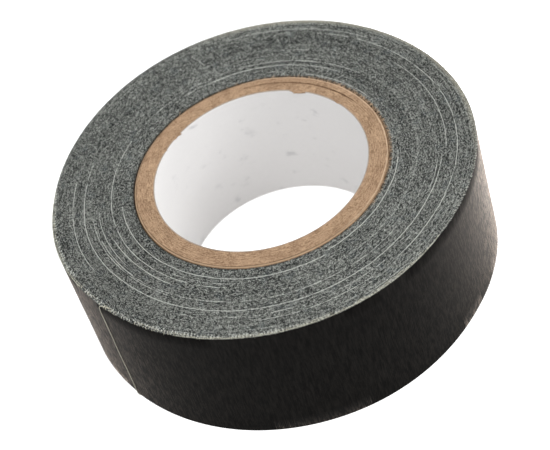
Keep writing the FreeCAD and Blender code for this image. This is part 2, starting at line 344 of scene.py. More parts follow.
def polar(tree):
    """Azimuth in turns, radius and height, from the object's own coordinates."""
    parts = node(tree, "ShaderNodeSeparateXYZ", Vector=object_place(tree)).outputs
    azimuth = calc(tree, "DIVIDE", calc(tree, "ARCTAN2", parts[1], parts[0]), 2 * math.pi)
    squares = calc(tree, "ADD", calc(tree, "POWER", parts[0], 2.0), calc(tree, "POWER", parts[1], 2.0))
    return azimuth, calc(tree, "SQRT", squares), parts[2]


def turned_to(tree, azimuth, centre):
    """The cosine of the angle between an azimuth, in turns, and a centre, in radians."""
    return calc(tree, "COSINE", calc(tree, "MULTIPLY_ADD", azimuth, 2 * math.pi, -centre))


def from_middle(tree, height):
    """How far a height is from the middle of the core's length."""
    return calc(tree, "ABSOLUTE", calc(tree, "SUBTRACT", height, CORE_MIDDLE))


def bump(tree, height, distance, strength):
    return node(tree, "ShaderNodeBump", Height=height, Strength=strength, Distance=distance).outputs[0]


def new_material(name, **surface):
    """A material and its node tree, with the principled surface's inputs set."""
    material = bpy.data.materials.new(name)
    material.use_nodes = True
    tree = material.node_tree
    principled = tree.nodes["Principled BSDF"]
    for key, given in surface.items():
        principled.inputs[key.replace("_", " ")].default_value = given
    return material, tree, principled


def set_surface(tree, principled, **inputs):
    for key, socket in inputs.items():
        tree.links.new(socket, principled.inputs[key.replace("_", " ")])


# ---- Materials ----


def slit_edge_material():
    """The side of the wound tape: dark film and rubber with thousands of cut cotton threads between.

    The turns by the core have painted shade, as of the gap beside the core, with brown paper fibres on
    +X, and the rim behind has pale fibres.
    """
    material, tree, surface = new_material("slit_edge", Roughness=0.85, Specular_IOR_Level=0.2)
    where = object_place(tree)
    azimuth, radius, _ = polar(tree)
    around_turn = calc(tree, "FRACT", calc(tree, "SUBTRACT", START_AZ / 360, azimuth))
    turns = calc(tree, "SUBTRACT", attribute(tree, "layer"), around_turn)
    number = calc(tree, "FLOOR", turns)
    across = calc(tree, "FRACT", turns)
    wound = calc(tree, "ADD", number, around_turn)
    length = calc(tree, "MULTIPLY_ADD", wound, math.pi * THICK, 2 * math.pi * CORE_R)
    count = calc(tree, "DIVIDE", times(tree, wound, length), WEFT_PITCH)
    within = calc(tree, "FRACT", count)
    cell = combine(tree, number, calc(tree, "FLOOR", count))
    flat = {"noise_dimensions": "2D"}
    grain = node(tree, "ShaderNodeTexWhiteNoise", flat, Vector=cell).outputs["Value"]
    cloth = hump(tree, across)
    dot = times(tree, hump(tree, within), calc(tree, "MULTIPLY_ADD", grain, 1.1, 0.15))
    light = calc(tree, "POWER", times(tree, dot, cloth), 1.7)
    light = calc(tree, "MULTIPLY_ADD", light, 1.5, -0.13)
    speckle = grains(tree, where, 4300.0)
    own_place = combine(tree, times(tree, number, 5.3), times(tree, count, 0.75))
    dash = noise(tree, own_place, 1.0, 1.0, 0.5)
    patch = noise(tree, where, 60.0, 3.0, 0.55)
    streak = noise(tree, combine(tree, times(tree, number, 0.47), wound), 1.0, 2.0, 0.6)
    strand = noise(tree, combine(tree, times(tree, number, 3.7), wound, 9.0), 1.3, 0.0, 0.5)
    strand = times(tree, step_up(tree, strand, 0.69, 0.74), cloth)
    for part, weight in ((speckle, 0.8), (dash, 1.55), (streak, 1.05), (patch, 0.42)):
        light = calc(tree, "MULTIPLY_ADD", calc(tree, "SUBTRACT", part, 0.5), weight, light)
    light = calc(tree, "MULTIPLY_ADD", strand, 0.3, light, clamp=True)
    colour = blend_colours(tree, light, (0.014, 0.016, 0.0155), (0.54, 0.56, 0.515))
    blue = step_up(tree, noise(tree, where, 240.0, 2.0, 0.5), 0.52, 0.75)
    colour = blend_colours(tree, times(tree, blue, 0.2), colour, (0.09, 0.12, 0.14))
    frayed = step_up(tree, attribute(tree, "layer"), 5.0, 0.5)
    frayed = times(tree, frayed, step_up(tree, turned_to(tree, azimuth, 0.09), 0.1, 0.7))
    frayed = times(tree, frayed, step_up(tree, noise(tree, where, 1500.0, 2.0, 0.6), 0.38, 0.6))
    colour = blend_colours(tree, times(tree, frayed, 0.75), colour, (0.16, 0.10, 0.05))
    # Painted shade: the first turns by the core are darkened, as if shadowed in the gap beside the core.
    gap_shade = step_up(tree, attribute(tree, "layer"), 3.2, 0.9)
    colour = blend_colours(tree, times(tree, gap_shade, 0.75), colour, (0.035, 0.024, 0.016))
    rim = step_up(tree, radius, ROLL_R - 2.0 * MM, ROLL_R - 0.2 * MM)
    rim = times(tree, rim, step_up(tree, turned_to(tree, azimuth, 0.65), 0.4, 0.9))
    rim = times(tree, rim, step_up(tree, noise(tree, where, 2400.0, 1.0, 0.5), 0.36, 0.6))
    colour = blend_colours(tree, times(tree, rim, 0.8), colour, (0.64, 0.61, 0.50))
    set_surface(tree, surface, Base_Color=colour, Normal=bump(tree, light, 0.15 * MM, 0.6))
    return material


def film_material():
    """Black polyethylene film with the cloth's threads printed through it, dusty where they stand up."""
    material, tree, surface = new_material("film", Roughness=0.42, IOR=1.15)
    azimuth, _, height = polar(tree)
    flat = combine(tree, times(tree, azimuth, 2 * math.pi * ROLL_R), height)
    weft = noise(tree, stretched(tree, flat, (2100.0, 200.0, 1.0)), 1.0, 3.0, 0.6)
    group = noise(tree, stretched(tree, flat, (1150.0, 280.0, 1.0)), 1.0, 3.0, 0.65)
    warp = noise(tree, stretched(tree, flat, (160.0, 1900.0, 1.0)), 1.0, 2.0, 0.5)
    grain = noise(tree, object_place(tree), 3200.0, 2.0, 0.6)
    cloud = noise(tree, object_place(tree), 45.0, 3.0, 0.5)
    weave = calc(tree, "ADD", times(tree, weft, 0.5), times(tree, warp, 0.15))
    weave = calc(tree, "MULTIPLY_ADD", group, 0.35, calc(tree, "MULTIPLY_ADD", grain, 0.15, weave))
    broad = noise(tree, stretched(tree, flat, (680.0, 110.0, 1.0)), 1.0, 3.0, 0.65)
    shade = calc(tree, "MULTIPLY_ADD", broad, 0.6, times(tree, weft, 0.4), clamp=True)
    shade = step_up(tree, shade, 0.34, 0.66)
    colour = blend_colours(tree, shade, (0.0024, 0.0022, 0.0020), (0.0098, 0.0090, 0.0081))
    rough = calc(tree, "MULTIPLY_ADD", weft, 0.25, calc(tree, "MULTIPLY_ADD", cloud, 0.12, 0.22))
    dust = times(tree, step_up(tree, group, 0.36, 0.6), step_up(tree, weft, 0.44, 0.58))
    dust = calc(tree, "MULTIPLY_ADD", dust, 1.8, 0.04, clamp=True)
    normal = bump(tree, weave, 0.05 * MM, 0.9)
    set_surface(tree, surface, Base_Color=colour, Roughness=rough, Normal=normal, Sheen_Weight=dust)
    surface.inputs["Sheen Roughness"].default_value = 0.26
    surface.inputs["Sheen Tint"].default_value = (1.0, 0.84, 0.72, 1)
    return material


def adhesive_material():
    """The sticky side: dark grey rubber with the threads showing through."""
    material, tree, surface = new_material("adhesive", Roughness=0.35)
    azimuth, _, height = polar(tree)
    flat = combine(tree, times(tree, azimuth, 2 * math.pi * ROLL_R), height)
    weft = noise(tree, stretched(tree, flat, (1600.0, 120.0, 1.0)), 1.0, 2.0, 0.5)
    warp = noise(tree, stretched(tree, flat, (120.0, 1600.0, 1.0)), 1.0, 2.0, 0.5)
    weave = calc(tree, "ADD", times(tree, weft, 0.5), times(tree, warp, 0.5))
    shade = step_up(tree, weave, 0.35, 0.65)
    colour = blend_colours(tree, shade, (0.07, 0.078, 0.075), (0.17, 0.18, 0.17))
    set_surface(tree, surface, Base_Color=colour, Normal=bump(tree, weave, 0.08 * MM, 0.7))
    return material


def cotton_material(name, pale, dark):
    """Twisted cotton, paler where its fibres stand up."""
    material, tree, surface = new_material(name, Roughness=0.9, Specular_IOR_Level=0.15)
    fibre = noise(tree, object_place(tree), 3800.0, 3.0, 0.6)
    blotch = noise(tree, object_place(tree), 300.0, 2.0, 0.5)
    light = calc(tree, "MULTIPLY_ADD", fibre, 0.7, times(tree, blotch, 0.3), clamp=True)
    colour = blend_colours(tree, step_up(tree, light, 0.25, 0.7), dark, pale)
    set_surface(tree, surface, Base_Color=colour, Normal=bump(tree, fibre, 0.06 * MM, 0.6))
    surface.inputs["Sheen Weight"].default_value = 0.25
    return material


def on_cut_end(tree):
    """1 on the core's two cut ends and 0 down its walls."""
    normal = node(tree, "ShaderNodeNewGeometry").outputs["Normal"]
    facing = node(tree, "ShaderNodeSeparateXYZ", Vector=normal).outputs
    return step_up(tree, calc(tree, "ABSOLUTE", facing[2]), 0.3, 0.7)


def kraft_material(name, pale, dark, fleck, end_pale=None):
    """Cut paperboard: mottled fibres, saw lines, darker flecks and an edge by the outer ply.

    The edge is a pale lip on +X, where the outer ply is worn, and a dark line of painted shade in the
    groove on the other side.
    """
    material, tree, surface = new_material(name, Roughness=0.9, Specular_IOR_Level=0.2)
    where = object_place(tree)
    azimuth, radius, height = polar(tree)
    along = times(tree, azimuth, 110.0)
    lines = noise(tree, combine(tree, times(tree, radius, 3600.0), along), 1.0, 2.0, 0.6)
    mottle = noise(tree, where, 2300.0, 3.0, 0.65)
    cloud = noise(tree, where, 180.0, 3.0, 0.5)
    light = calc(tree, "ADD", times(tree, lines, 0.42), times(tree, mottle, 0.4))
    light = calc(tree, "ADD", light, times(tree, cloud, 0.18))
    colour = blend_colours(tree, step_up(tree, light, 0.38, 0.62), dark, pale)
    flecks = step_up(tree, noise(tree, where, 1300.0, 2.0, 0.5), 0.60, 0.72)
    colour = blend_colours(tree, times(tree, flecks, 0.6), colour, fleck)
    wander = calc(tree, "MULTIPLY_ADD", noise(tree, where, 220.0, 1.0, 0.5), 0.5 * MM, radius)
    away = calc(tree, "ABSOLUTE", calc(tree, "SUBTRACT", wander, PLY_R[-1] + 0.12 * MM))
    groove = times(tree, step_up(tree, away, 0.26 * MM, 0.08 * MM), on_cut_end(tree))
    facing = step_up(tree, turned_to(tree, azimuth, 0.17), 0.0, 0.5)
    lip = times(tree, groove, times(tree, facing, 0.6))
    colour = blend_colours(tree, lip, colour, (0.72, 0.55, 0.39))
    # Painted shade: the groove is darkened on the side away from +X.
    gap_shade = times(tree, groove, times(tree, calc(tree, "SUBTRACT", 1.0, facing), 0.6))
    colour = blend_colours(tree, gap_shade, colour, (0.09, 0.055, 0.03))
    if end_pale:
        away = calc(tree, "MULTIPLY_ADD", mottle, 0.4 * MM, from_middle(tree, height))
        end = step_up(tree, away, CORE_HALF - 0.35 * MM, CORE_HALF)
        colour = blend_colours(tree, end, colour, end_pale)
    set_surface(tree, surface, Base_Color=colour, Normal=bump(tree, light, 0.12 * MM, 0.7))
    return material


def liner_material():
    """White liner paper with faint grey scuffs from handling."""
    material, tree, surface = new_material("liner_paper", Roughness=0.6, Specular_IOR_Level=0.3)
    where = object_place(tree)
    fibre = noise(tree, where, 900.0, 3.0, 0.6)
    scuff = noise(tree, stretched(tree, where, (1.0, 1.0, 1.7)), 150.0, 4.0, 0.55)
    field = noise(tree, where, 38.0, 2.0, 0.5)
    marks = times(tree, step_up(tree, scuff, 0.575, 0.73), step_up(tree, field, 0.47, 0.62))
    colour = blend_colours(tree, fibre, (0.91, 0.90, 0.895), (0.965, 0.955, 0.95))
    colour = blend_colours(tree, times(tree, marks, 0.36), colour, (0.42, 0.42, 0.44))
    away = from_middle(tree, polar(tree)[2])
    cut_end = step_up(tree, away, CORE_HALF - 0.22 * MM, CORE_HALF - 0.06 * MM)
    colour = blend_colours(tree, cut_end, colour, (0.40, 0.33, 0.27))
    set_surface(tree, surface, Base_Color=colour, Normal=bump(tree, fibre, 0.04 * MM, 0.35))
    return material


SLIT_EDGE = slit_edge_material()
FILM = film_material()
ADHESIVE = adhesive_material()
CREAM = cotton_material("cream_cotton", (0.80, 0.78, 0.64), (0.52, 0.50, 0.38))
PALE = cotton_material("pale_cotton", (0.84, 0.86, 0.80), (0.57, 0.59, 0.54))
KRAFT = kraft_material("kraft", (0.54, 0.37, 0.235), (0.23, 0.14, 0.082), (0.16, 0.09, 0.045))
BROWN = kraft_material(
    "brown_kraft", (0.42, 0.25, 0.13), (0.21, 0.115, 0.055), (0.13, 0.065, 0.03), (0.58, 0.41, 0.27)
)
LINER = liner_material()


# ---- Core ----

SEAM_PITCH = 144 * MM  # axial advance of a ply's strip in one turn, as in the CAD model
WALL_ROWS = 26  # rows down a ply's wall, enough to follow its slanting seam
SEAM_GAP = 0.02  # degrees from a ply's seam to each of its edges
SEAM_STAGGER = 77.0
FIRST_SEAM = 212.6
SPLITS = [(74.0, 9.0, 1.0), (54.0, 7.0, 0.6), (35.0, 9.0, 0.8)]  # azimuth, half width and strength
SPLIT_PLY = 5  # the plies have come apart between this one and the next
FRAY_COUNT = 420  # fibres at the outer ply's upper edge
# Torn tongues on the bore's upper edge: azimuth, reach in mm and half width in degrees.
BURRS = [(55.6, 1.35, 3.6), (128.5, 1.0, 1.2), (131.5, 0.6, 0.9), (141.0, 0.5, 0.8), (30.0, 0.45, 1.6)]


def end_section(inner, outer, bevel, rows):
    """Half of a ply's section, from the middle of its inner wall over its end to its outer wall."""
    thick = outer - inner
    lip = min(0.08 * MM, thick / 5)
    across = np.linspace(inner + lip, outer - max(bevel, lip), rows)
    section = [(inner, -lip * 1.2), (inner + lip * 0.3, -lip * 0.3)]
    section += [(radius, 0.0) for radius in across]
    section += [(outer - bevel * 0.25, -bevel * 0.75), (outer, -max(bevel, lip) * 1.15)]
    return section


def paper_tube(name, inner, outer, seam, materials, bevel=0.0, rows=4, seed=0, lift=None):
    """One ply of the core: a strip wound as a helix, with a slanting slit where its edges meet."""
    columns = TURN + 1
    turn = np.linspace(SEAM_GAP, 360 - SEAM_GAP, columns)
    top = end_section(inner, outer, bevel, rows)
    heights = np.linspace(CORE_TOP - 1.2 * MM, CORE_LOW + 1.2 * MM, WALL_ROWS)
    mid = len(top)
    radii = [r for r, _ in top] + [outer] * WALL_ROWS + [r for r, _ in top[::-1]] + [inner] * WALL_ROWS
    rises = [z for _, z in top]
    z = [CORE_TOP + rise for rise in rises] + list(heights)
    z += [CORE_LOW - rise for rise in rises[::-1]] + list(heights[::-1])
    radii, z = np.array(radii)[None, :], np.array(z)[None, :]
    azimuth = turn[:, None] + seam + 360 * z / SEAM_PITCH
    random = np.random.default_rng(seed)
    ring = radii.shape[1]
    rough = np.zeros((columns, ring))
    ends = list(range(mid)) + list(range(mid + WALL_ROWS, 2 * mid + WALL_ROWS))
    rough[:, ends] = random.normal(0, 0.022 * MM, (columns, len(ends)))
    slow = 0.05 * MM * around(azimuth, 9, seed + 7)
    sign = np.where(np.arange(ring) < mid, 1.0, np.where(np.arange(ring) < mid + WALL_ROWS, 0.0, -1.0))
    sign[2 * mid + WALL_ROWS :] = 0
    z = z + rough + slow * sign[None, :]
    radius = np.broadcast_to(radii, (columns, ring)).copy()
    if lift:
        radius, z = lift(radius, azimuth, z, mid)
    points = place_core(radius, azimuth, z)
    faces = loop_faces(columns, ring)[:, ::-1]
    shell = Shell().add(points, [faces] + end_caps(columns, mid))
    return make_piece(name, shell, materials, "roll", [name.removesuffix("_paper")], sharp=50)


def end_caps(columns, mid):
    """The two cut edges of a paper strip: quads down its wall, and one face over each end section."""
    ring = 2 * (mid + WALL_ROWS)
    rows = np.arange(WALL_ROWS - 1)
    wall = np.stack([mid + rows, mid + rows + 1, ring - 2 - rows, ring - 1 - rows], -1)
    top = np.array([[ring - 1, *range(mid + 1)]])
    low = np.array([[*range(mid + WALL_ROWS - 1, 2 * mid + WALL_ROWS + 1)]])
    first = [wall, top, low]
    last = (columns - 1) * ring
    return [face[:, ::-1] for face in first] + [face + last for face in first]


def burred(radius, azimuth, z, mid):
    """Torn paper tongues that lean inward over the liner's upper edge."""
    inner_end = np.zeros_like(radius)
    inner_end[:, : mid - 3] = 1
    for centre, reach, width in BURRS:
        tongue = np.minimum(near(azimuth, centre, width) * 1.4, 1) * inner_end
        ragged = 1 + 0.3 * np.sin(azimuth * 4.0 + centre)
        radius = radius - reach * MM * tongue * ragged
        z = z + 0.08 * MM * tongue
    radius = radius - 0.16 * MM * np.clip(around(azimuth, 110, 72), -0.3, 2) * inner_end
    return radius, z


def split_open(ply):
    """A crack in the cut end: the ply inside it sags at its edge, and the plies outside it stand up."""

    def lift(radius, azimuth, z, mid):
        gape = sum(near(azimuth, centre, width) * strength for centre, width, strength in SPLITS)
        gape = gape * np.clip(0.9 + 0.6 * around(azimuth, 50, 71), 0, 2)
        share = np.zeros_like(radius)
        if ply <= SPLIT_PLY:
            share[:, mid - 4 : mid] = 1
            return radius - 0.12 * MM * gape * share, z - 1.1 * MM * gape * share
        share[:, :mid] = 1
        return radius + 0.06 * MM * gape * share, z + 0.22 * MM * gape * share

    return lift


def worn_rim(radius, azimuth, z, mid):
    """The outer ply is worn down further on the side where it has pulled off the tape."""
    end = np.zeros_like(radius)
    end[:, :mid] = 1
    worn = (0.25 + 0.75 * near(azimuth, 5.0, 62.0)) * (1 + 0.25 * around(azimuth, 60, 5)) * end
    outer_share = np.clip((radius - PLY_R[-1]) / (CORE_R - PLY_R[-1]), 0, 1)
    return radius - 0.10 * MM * worn * outer_share, z - 0.55 * MM * worn * (0.35 + outer_share)


def build_core():
    glue = 0.02 * MM
    paper_tube("core_liner_paper", BORE_R, LINER_R, FIRST_SEAM, [LINER], rows=3, seed=11)
    inner = LINER_R + glue
    for i, (ply, outer) in enumerate(zip(PLY_NODES, PLY_R), 1):
        lift = burred if i == 1 else split_open(i) if i >= SPLIT_PLY else None
        seam = FIRST_SEAM + SEAM_STAGGER * i
        paper_tube(f"{ply}_paper", inner, outer, seam, [KRAFT], seed=19 + i, lift=lift)
        inner = outer + glue
    seam = FIRST_SEAM + SEAM_STAGGER * (len(PLY_NODES) + 1)
    paper_tube("core_outer_ply_paper", inner, CORE_R, seam, [BROWN], 0.42 * MM, 4, 41, worn_rim)


def build_fray():
    """Loose brown fibres pulled out of the outer ply's edge, where the tape has come away from it."""
    random = np.random.default_rng(60)
    shell = Shell()
    for _ in range(FRAY_COUNT):
        azimuth = random.normal(8.0, 36.0)
        start = CORE_R - random.uniform(0.1, 0.5) * MM
        reach = random.uniform(0.5, 1.7) * MM
        slant = math.degrees(random.normal(0, 0.7) * MM / CORE_R)
        rise = random.uniform(0.1, 0.4) * MM
        level = TAPE_TOP - 0.1 * MM
        stations = [(0, -0.1 * MM), (0.35, 0.7 * rise), (0.7, rise), (1, 0.1 * MM)]
        path = [place_core(start + reach * t, azimuth + slant * t, level + up) for t, up in stations]
        shell.add(*tube_along(path, random.uniform(0.07, 0.13) * MM, 4, taper=True))
    make_piece("core_outer_ply_fray", shell, [BROWN], "roll")


# ---- Wound tape ----

PROFILE = np.array([0.0, 1 / 3, 2 / 3])  # across a turn: groove at the film, then two cloth crests
TUFT = np.array([-0.05, 0.05, 0.03]) * MM
TUFT_SPREAD = np.array([0.02, 0.07, 0.06]) * MM
BLOCK_ENDS = [30, 60, 90]  # whole turns at which the wound tape is divided into pieces
WOUND_BLOCKS_END = int(WOUND_END - TURN - TAB_PHI - 6)  # the outer turn's sheet starts here
TOP_SEED, LOW_SEED = 100, 200


def edge_height(wound, row, random, seed):
    """Height of the slit edge above its nominal plane at strip positions of one profile row."""
    scatter = random.normal(0, 1, np.shape(wound)) * TUFT_SPREAD[row]
    return edge_rise(wound, seed) + TUFT[row] + scatter


def block_edge(first, last, seed):
    """One slit edge of a block of turns: place along the strip, layer and height of each vertex."""
    random = np.random.default_rng(seed + first)
    wound = np.arange(first, last + 1)
    grid = np.repeat(wound[:, None], len(PROFILE), axis=1)
    rise = np.stack([edge_height(wound, row, random, seed) for row in range(len(PROFILE))], 1)
    rim = np.arange(last + 1, last + TURN + 1)
    rim_rise = edge_height(rim, 0, random, seed)
    layer = np.concatenate([(grid / TURN + PROFILE).ravel(), rim / TURN])
    turned = np.concatenate([grid.ravel(), rim])
    return turned, layer, np.concatenate([rise.ravel(), rim_rise])


def block_table(length):
    """Vertex numbers of a block's edge, by strip position and by row across the turn."""
    rows = len(PROFILE)
    own = np.arange((length + 1) * rows).reshape(length + 1, rows)
    rim = (length + 1) * rows + np.arange(TURN)
    first_row = np.concatenate([own[:, 0], rim])
    return np.concatenate([own, first_row[TURN : TURN + length + 1, None]], 1)


def tape_block(name, first, last):
    """A closed block of bonded turns, with the spiral's step at its inside and its outside."""
    length = last - first
    table = block_table(length)
    rows = len(PROFILE)
    count = (length + 1) * rows + TURN
    quads = np.stack([table[:-1, :-1], table[1:, :-1], table[1:, 1:], table[:-1, 1:]], -1).reshape(-1, 4)
    inner = np.concatenate([table[:TURN, 0], table[0, :0:-1]])
    outer = np.concatenate([table[length - TURN :, rows], table[length, rows - 1 : 0 : -1]])
    points, layers = [], []
    for sign, level, seed in ((1, TAPE_TOP, TOP_SEED), (-1, TAPE_LOW, LOW_SEED)):
        turned, layer, rise = block_edge(first, last, seed)
        points.append(place(CORE_R + THICK * layer, strip_azimuth(turned), level + sign * rise))
        layers.append(layer)
    faces = [quads, quads[:, ::-1] + count]
    for loop, order in ((inner, -1), (outer, 1)):
        after = np.roll(loop, -1)
        faces.append(np.stack([loop, after, after + count, loop + count], -1)[:, ::order])
    shell = Shell().add(np.concatenate(points), faces, layer=np.concatenate(layers))
    return make_piece(name, shell, [SLIT_EDGE], "roll", ["tape_windings"])


def build_windings():
    ends = [0] + [turns * TURN for turns in BLOCK_ENDS] + [WOUND_BLOCKS_END]
    for i, (first, last) in enumerate(zip(ends, ends[1:])):
        tape_block(f"tape_turns_{i + 1}", first, last)


# ---- Outer turn and peeling end ----

SHEET = 0.8 * THICK  # the sheet is a little thinner than a turn, so that it clears the turn beneath
COLUMNS_PER_WEFT = 4
SHEET_ROWS = 10
RIDGE = 0.016 * MM
SHEET_MATERIALS = [FILM, SLIT_EDGE, ADHESIVE, CREAM]


def sheet_columns(low, high):
    """Winding angles of a sheet's columns, on one lattice so that neighbouring sheets agree."""
    pitch = WEFT_PHI / COLUMNS_PER_WEFT
    inside = np.arange(math.ceil(low / pitch + 0.25), math.floor(high / pitch - 0.25) + 1) * pitch
    return np.concatenate([[low], inside, [high]])


def film_relief(phi, z):
    """Height of the threads' print on the film: weft ridges along the axis, uneven along each one."""
    count = phi / WEFT_PHI
    ridge = np.cos(2 * math.pi * count)
    uneven = 0.6 + 0.4 * drift(np.floor(count + 0.5) * 7.31 + z / (6 * MM), 301)
    slack = 0.03 * MM * drift(phi / 9 + 3.7 * z / TAPE_WIDTH, 302)
    return RIDGE * ridge * uneven + slack


def sheet_shell(low, high, torn=False):
    """A length of tape between two winding angles: film outside, cloth at its edges, adhesive inside."""
    phi = sheet_columns(low, high)[:, None]
    wound = WOUND_END - phi
    rise_top = edge_rise(wound, TOP_SEED)
    rise_low = edge_rise(wound, LOW_SEED)
    share = np.linspace(0, 1, SHEET_ROWS)[None, :]
    z_low, z_top = TAPE_LOW - rise_low, TAPE_TOP + rise_top
    z = z_low + (z_top - z_low) * share
    outer = strip_radius(wound) + THICK
    out_r = outer + film_relief(phi, z)
    in_r = np.broadcast_to(outer - SHEET, z.shape)
    crest = 0.06 * MM
    edge_r = np.concatenate([outer - SHEET * 0.35, outer - SHEET * 0.7], 1)
    top_z = np.concatenate([z_top + crest, z_top + crest * 0.7], 1)
    low_z = np.concatenate([z_low - crest * 0.7, z_low - crest], 1)
    radius = np.concatenate([out_r, edge_r, in_r, edge_r[:, ::-1]], 1)
    height = np.concatenate([z, top_z, z[:, ::-1], low_z], 1)
    azimuth = np.broadcast_to(END_AZ + phi, radius.shape).copy()
    if torn:
        ragged = drift(height[0] / (0.9 * MM) + 40, 303) * 0.10
        ragged += drift(height[0] / (5 * MM) + 9, 304) * 0.12
        azimuth[0] += ragged
    ring = radius.shape[1]
    points = place(radius, azimuth, height)
    faces = loop_faces(len(phi), ring).reshape(len(phi) - 1, ring, 4)
    rows = SHEET_ROWS
    film, sticky = faces[:, : rows - 1], faces[:, rows + 2 : 2 * rows + 1]
    edges = [faces[:, rows - 1 : rows + 2], faces[:, 2 * rows + 1 :]]
    across = np.array([0.95] * rows + [0.65, 0.3] + [0.05] * rows + [0.3, 0.65])
    shell = Shell().add(points, film.reshape(-1, 4), layer=wound / TURN + across)
    shell.faces += [np.concatenate([e.reshape(-1, 4) for e in edges]), sticky.reshape(-1, 4)]
    shell.slots += [np.full(len(shell.faces[-2]), 1), np.full(len(shell.faces[-1]), 2)]
    for cap, slot in zip(sheet_caps(len(phi), ring), (1 if torn else 0, 0)):
        shell.faces.append(cap)
        shell.slots.append(np.full(len(cap), slot))
    return shell


def sheet_caps(columns, ring):
    """Quads that close a sheet's two cut ends, from each outer row to the inner row behind it."""
    rows = SHEET_ROWS
    first = [[i + 1, i, 2 * rows + 1 - i, 2 * rows - i] for i in range(rows - 1)]
    first.append([rows + 1, rows, rows - 1, rows + 2])
    first.append([ring - 1, 0, 2 * rows + 1, 2 * rows + 2][::-1])
    first = np.array(first)
    return [first[:, ::-1], first + (columns - 1) * ring]


def build_outer_turn():
    low = TAB_PHI + TAB_STEP / 2
    shell = sheet_shell(low, WOUND_END - WOUND_BLOCKS_END)
    nodes = ["outer_wrap_film", "outer_wrap_cloth", "outer_wrap_adhesive"]
    make_piece("outer_turn", shell, SHEET_MATERIALS[:3], "roll", nodes, sharp=50)


def tab_nodes(number):
    return [f"tab_{layer}_{number}" for layer in ("film", "cloth", "adhesive")]


def build_tab():
    """The peeling end: a sheet across each hinge, and a last half length with the torn end."""
    bodies = ["roll"] + [f"tab_{i}" for i in range(1, len(HINGES) + 1)]
    for i, hinge in enumerate(HINGES):
        middle = TAB_PHI - TAB_STEP * i
        low, high = middle - TAB_STEP / 2, middle + TAB_STEP / 2
        shell = sheet_shell(low, high)
        add_tufts(shell, low, high, 0, 3, 640 + i)
        piece = make_piece(f"tab_sheet_{i + 1}", shell, SHEET_MATERIALS, sharp=50)
        reach = TAB_STEP * 0.42
        start = place(ROLL_R, END_AZ + middle + reach, hinge.z)
        end = place(ROLL_R, END_AZ + middle - reach, hinge.z)
        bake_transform(piece)
        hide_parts(*tab_nodes(i + 1))
    tip = sheet_shell(0.0, TAB_STEP / 2, torn=True)
    add_tufts(tip, 0.2, TAB_STEP / 2, 0, 3, 650)
    make_piece("tab_torn_end", tip, SHEET_MATERIALS, bodies[-1], tab_nodes(len(HINGES)), sharp=50)


# ---- Threads ----

# Warp yarns standing off the slit edge: turn counted from the core, start azimuth, sweep.
STRAY_YARNS = [
    (7, 12, 45), (12, 282, 63), (18, 175, 108), (24, 40, 62), (27, 212, 38), (33, 30, 225), (42, 189, 36),
    (57, 175, 172), (60, 174, 52), (72, 152, 190), (83, 222, 96), (88, 155, 45), (92, 245, 195),
]
# Finer yarns between them, given in the same way. These are in the looks alone.
FINE_YARNS = [
    (26, 98, 24), (51, 174, 32), (55, 56, 20), (59, 345, 14),
    (67, 322, 18), (77, 343, 46), (99, 42, 46), (111, 282, 20),
]
YARN_RADIUS = 0.095 * MM
FINE_RADIUS = 0.07 * MM
LOOSE_FIBRE = [(94, 98.8), (78, 97.6), (63, 96.4)]  # turns and azimuths of a fibre that lies across them
LOWER_FACE_TURN = 137  # degrees from the upper face's yarns to the lower face's


def yarn_path(turn, start, sweep, side, seed):
    """A stray yarn's path: it follows its turn, lies on the slit edge and dips into it at both ends."""
    steps = int(sweep * 1.5)
    azimuth = start + np.linspace(0, sweep, steps)
    share = np.linspace(0, 1, steps)
    wander_r = drift(share * sweep / 7 + 5, seed) * 0.10 * MM
    wander_z = drift(share * sweep / 4 + 5, seed + 1) * 0.08 * MM
    sink = 0.22 * MM * (np.exp(-share * 14) + np.exp(-(1 - share) * 14))
    radius = CORE_R + THICK * turn - THICK * (azimuth - start) / TURN + wander_r
    lift = 0.06 * MM + wander_z - sink
    level = TAPE_TOP + lift if side > 0 else TAPE_LOW - lift
    return place(radius, azimuth, level)


def build_stray_yarns():
    for name, side, turned, seed in (("top", 1, 0, 400), ("bottom", -1, LOWER_FACE_TURN, 500)):
        shell = Shell()
        for i, (turn, start, sweep) in enumerate(STRAY_YARNS + FINE_YARNS):
            path = yarn_path(turn, start + turned, sweep, side, seed + 2 * i)
            radius = YARN_RADIUS if i < len(STRAY_YARNS) else FINE_RADIUS
            shell.add(*tube_along(path, radius, 5))
        if side > 0:
            level = TAPE_TOP + 0.12 * MM
            knots = [place(CORE_R + THICK * turn, azimuth, level) for turn, azimuth in LOOSE_FIBRE]
            shell.add(*tube_along(smooth_path(np.array(knots), 4), FINE_RADIUS, 5))
        node_name = f"edge_yarns_{name}"
        make_piece(f"{node_name}_cotton", shell, [PALE], "roll", [node_name])


def thread_path():
    """The loose thread: over the rim, down the film by the torn end, and round the lower edge."""
    lying = 0.26 * MM
    rim_r, top = ROLL_R + lying, TAPE_TOP + lying
    hook = [
        (ROLL_R - 1.0 * MM, 4.4, TAPE_TOP + 0.20 * MM),
        (ROLL_R - 0.6 * MM, 3.1, TAPE_TOP + 0.34 * MM),
        (ROLL_R - 0.05 * MM, 2.0, top + 0.05 * MM),
        (rim_r + 0.05 * MM, 1.3, top - 0.9 * MM),
        (rim_r + 0.1 * MM, 1.1, top - 2.4 * MM),
        (rim_r, 0.78, top - 4.6 * MM),
    ]
    shares = np.linspace(0.12, 1, 14)
    sway = 0.68 + 0.1 * np.sin(3 * math.pi * shares) - 0.45 * shares
    fall = [(rim_r, bend, top - (4.6 + 44.6 * s) * MM) for s, bend in zip(shares, sway)]
    end = [(rim_r - 0.1 * MM, 0.8, TAPE_LOW - 0.1 * MM), (rim_r - 0.9 * MM, 1.9, TAPE_LOW - 0.28 * MM)]
    knots = [place(r, END_AZ + a, z) for r, a, z in hook + fall + end]
    return smooth_path(np.array(knots), 8)


